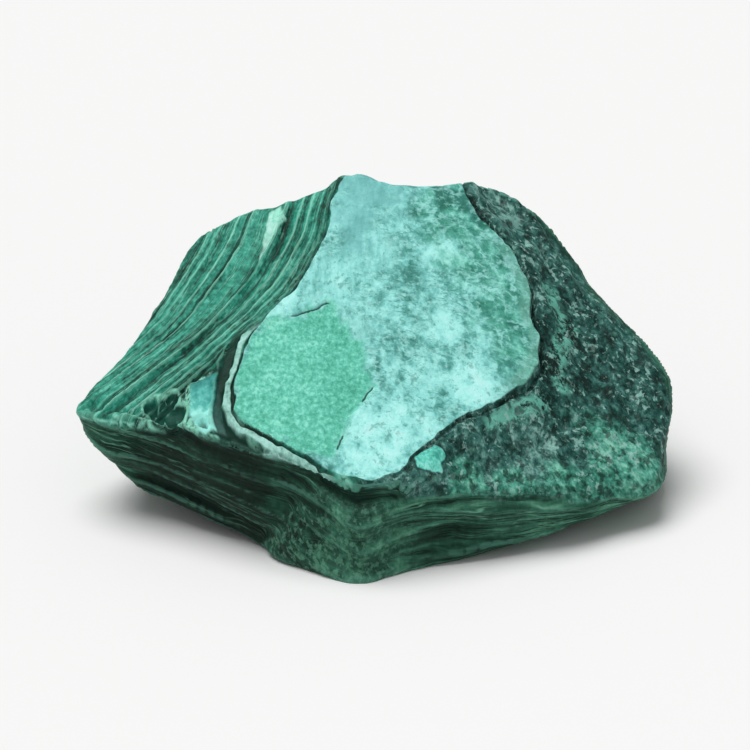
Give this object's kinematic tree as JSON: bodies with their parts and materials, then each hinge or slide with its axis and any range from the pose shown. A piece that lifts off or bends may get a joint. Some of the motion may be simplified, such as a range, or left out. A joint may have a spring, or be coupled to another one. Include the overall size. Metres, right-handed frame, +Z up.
{
  "type": "rough malachite",
  "caption": "Broken lump of banded green malachite with a smooth pale plateau, a ribbed flank and layered sides, resting on a flat underside.",
  "frame": {"origin": "the middle of the stone's bounding box in plan, on the flat underside that it rests on", "axes": "+Z up, -Y towards the viewer of the picture with the pale plateau facing up and forward, +X to the right of that view"},
  "size_m": [0.0498, 0.0335, 0.0232],
  "materials": {
    "malachite": "rough broken stone in fine light and dark green layers, with a smooth pale turquoise bed on top and a dull silky surface"
  },
  "bodies": {
    "root": {"stone": "malachite"}
  },
  "joints": []
}
